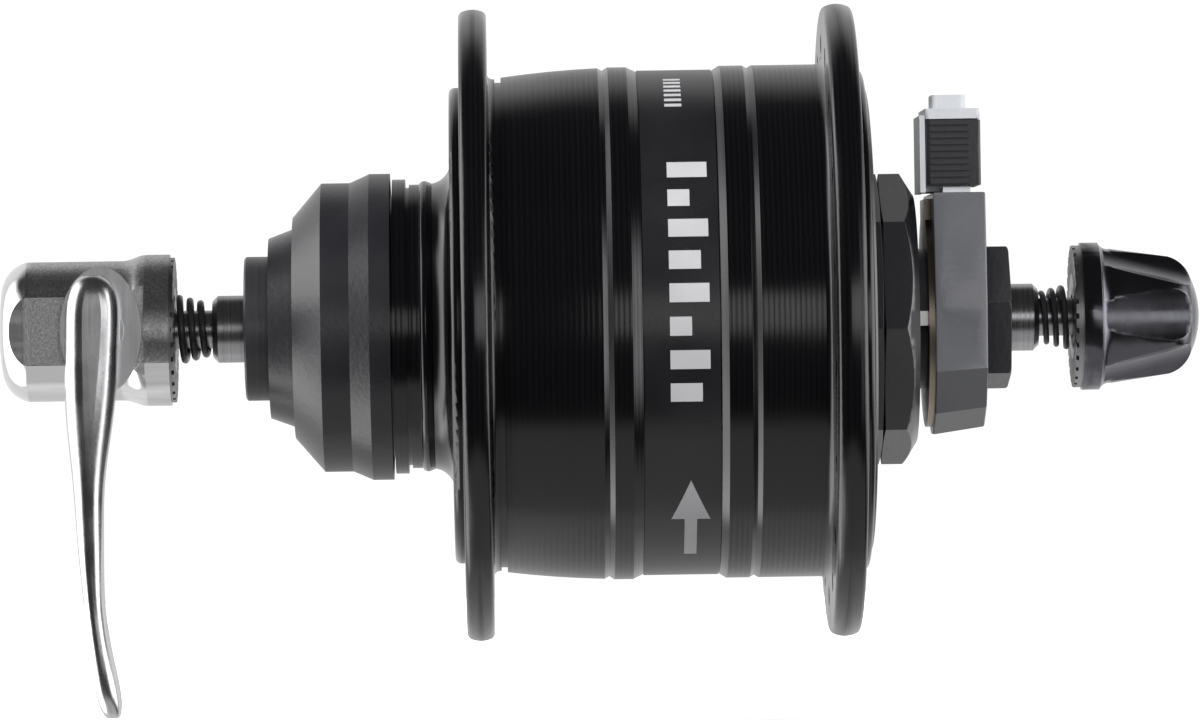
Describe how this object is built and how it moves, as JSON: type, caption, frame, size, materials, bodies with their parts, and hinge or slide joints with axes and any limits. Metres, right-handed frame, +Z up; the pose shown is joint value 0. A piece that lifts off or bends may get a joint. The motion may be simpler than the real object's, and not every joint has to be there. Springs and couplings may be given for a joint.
{
  "type": "bicycle hub dynamo",
  "caption": "Front bicycle hub generator: black shell with spoke flanges, covered rotor spline, plug terminal, and a quick-release skewer with a polished lever.",
  "frame": {"origin": "on the spin axis, midway between the outer faces of the two locknuts", "axes": "+Y along the spin axis towards the lever and the rotor spline, +X forward, +Z up with the lever hanging down"},
  "size_m": [0.083, 0.1573, 0.092],
  "materials": {
    "dark_steel": "dark zinc-plated steel",
    "bearing_steel": "ground hardened steel",
    "black_steel": "black oxide steel",
    "plated_contact": "yellow-passivated sheet steel",
    "contact_metal": "tinned brass",
    "terminal_plastic": "dark grey moulded plastic",
    "pale_plastic": "off-white moulded plastic",
    "copper_wire": "enamelled copper wire",
    "pole_iron": "pressed soft iron",
    "black_shell": "black anodised, turned aluminium",
    "black_end_cap": "black anodised aluminium",
    "seal_rubber": "black sealing rubber",
    "magnet_ferrite": "sintered ferrite",
    "label_film": "matte dark grey printed film",
    "cap_plastic": "matte dark grey moulded plastic",
    "black_spring": "blackened spring wire",
    "polished_alloy": "polished die-cast alloy",
    "polished_lever": "mirror-polished forged aluminium",
    "clamp_steel": "knurled hardened steel",
    "black_nut": "gloss black plated alloy",
    "grey_plastic": "light grey moulded plastic",
    "black_plastic": "black moulded plastic"
  },
  "bodies": {
    "axle_group": {"axle": "dark_steel", "left_cone": "bearing_steel", "left_spacer": "bearing_steel", "left_locknut": "black_steel", "right_cone": "black_steel", "contact_plate": "plated_contact", "terminal_block": "terminal_plastic", "terminal_blades": "contact_metal", "right_locknut": "black_steel", "coil_bobbin": "pale_plastic", "coil_winding": "copper_wire", "left_claw_poles": "pole_iron", "right_claw_poles": "pole_iron", "stator_core": "pole_iron", "stator_nut": "bearing_steel", "coil_lead": "copper_wire", "lead_insulator": "pale_plastic"},
    "hub": {"hub_shell": "black_shell", "left_bearing_cup": "bearing_steel", "right_bearing_cup": "bearing_steel", "hub_end_cap": "black_end_cap", "end_cap_seal": "seal_rubber", "magnet_yoke": "pole_iron", "ring_magnets": "magnet_ferrite", "left_dust_seal": "seal_rubber", "right_dust_seal": "seal_rubber", "rotation_label": "label_film"},
    "left_ball_set": {"left_balls": "bearing_steel", "left_ball_cage": "plated_contact"},
    "right_ball_set": {"right_balls": "bearing_steel", "right_ball_cage": "plated_contact"},
    "rotor_cap": {"rotor_mount_cap": "cap_plastic"},
    "left_spring_end": {"left_spring": "black_spring"},
    "skewer": {"skewer_rod": "dark_steel"},
    "cam_housing": {"lever_housing": "polished_alloy", "housing_clamp_ring": "clamp_steel"},
    "lever": {"quick_release_lever": "polished_lever", "cam_shaft": "bearing_steel", "cam_retaining_nut": "bearing_steel"},
    "right_spring_end": {"right_spring": "black_spring"},
    "nut": {"adjusting_nut": "black_nut", "nylon_insert": "pale_plastic", "nut_clamp_ring": "clamp_steel"},
    "plug": {"plug_body": "grey_plastic", "plug_contacts": "contact_metal"},
    "cover": {"plug_cover": "black_plastic"}
  },
  "joints": [
    {"name": "hub_spin", "type": "hinge", "parent": "axle_group", "child": "hub", "pos_m": [0, 0, 0], "axis": [0, 1, 0], "continuous": true},
    {"name": "left_ball_orbit", "type": "hinge", "parent": "axle_group", "child": "left_ball_set", "pos_m": [0, 0.0352, 0], "axis": [0, 1, 0], "continuous": true},
    {"name": "right_ball_orbit", "type": "hinge", "parent": "axle_group", "child": "right_ball_set", "pos_m": [0, -0.0334, 0], "axis": [0, 1, 0], "continuous": true},
    {"name": "rotor_cap_pull", "type": "slide", "parent": "hub", "child": "rotor_cap", "axis": [0, 1, 0], "range_m": [0, 0.009]},
    {"name": "skewer_float", "type": "slide", "parent": "axle_group", "child": "left_spring_end", "axis": [0, 1, 0], "range_m": [-0.002, 0.002], "stiffness_N_per_m": 1500, "deforming": ["left_spring"]},
    {"name": "skewer_turn", "type": "hinge", "parent": "left_spring_end", "child": "skewer", "pos_m": [0, 0, 0], "axis": [0, 1, 0], "continuous": true},
    {"name": "housing_shift", "type": "slide", "parent": "skewer", "child": "cam_housing", "axis": [0, 1, 0], "range_m": [0, 0.00181]},
    {"name": "lever_swing", "type": "hinge", "parent": "cam_housing", "child": "lever", "pos_m": [0, 0.0685, 0], "axis": [1, 0, 0], "range_deg": [0, 180]},
    {"name": "nut_travel", "type": "slide", "parent": "skewer", "child": "right_spring_end", "axis": [0, 1, 0], "range_m": [-0.0041, 0.0017], "deforming": ["right_spring"]},
    {"name": "nut_turn", "type": "hinge", "parent": "right_spring_end", "child": "nut", "pos_m": [0, -0.0584, 0], "axis": [0, 1, 0], "range_deg": [-1800, 720]},
    {"name": "plug_pull", "type": "slide", "parent": "axle_group", "child": "plug", "axis": [0, 0, 1], "range_m": [0, 0.012]},
    {"name": "cover_slide", "type": "slide", "parent": "plug", "child": "cover", "axis": [0, -1, 0], "range_m": [0, 0.0065]}
  ],
  "couplings": [
    {"joint": "left_ball_orbit", "follows": "hub_spin", "ratio": 0.586},
    {"joint": "right_ball_orbit", "follows": "hub_spin", "ratio": 0.586},
    {"joint": "housing_shift", "follows": "lever_swing", "m_per_rad": 0.00057296},
    {"joint": "nut_travel", "follows": "nut_turn", "m_per_rad": 0.00012732}
  ]
}
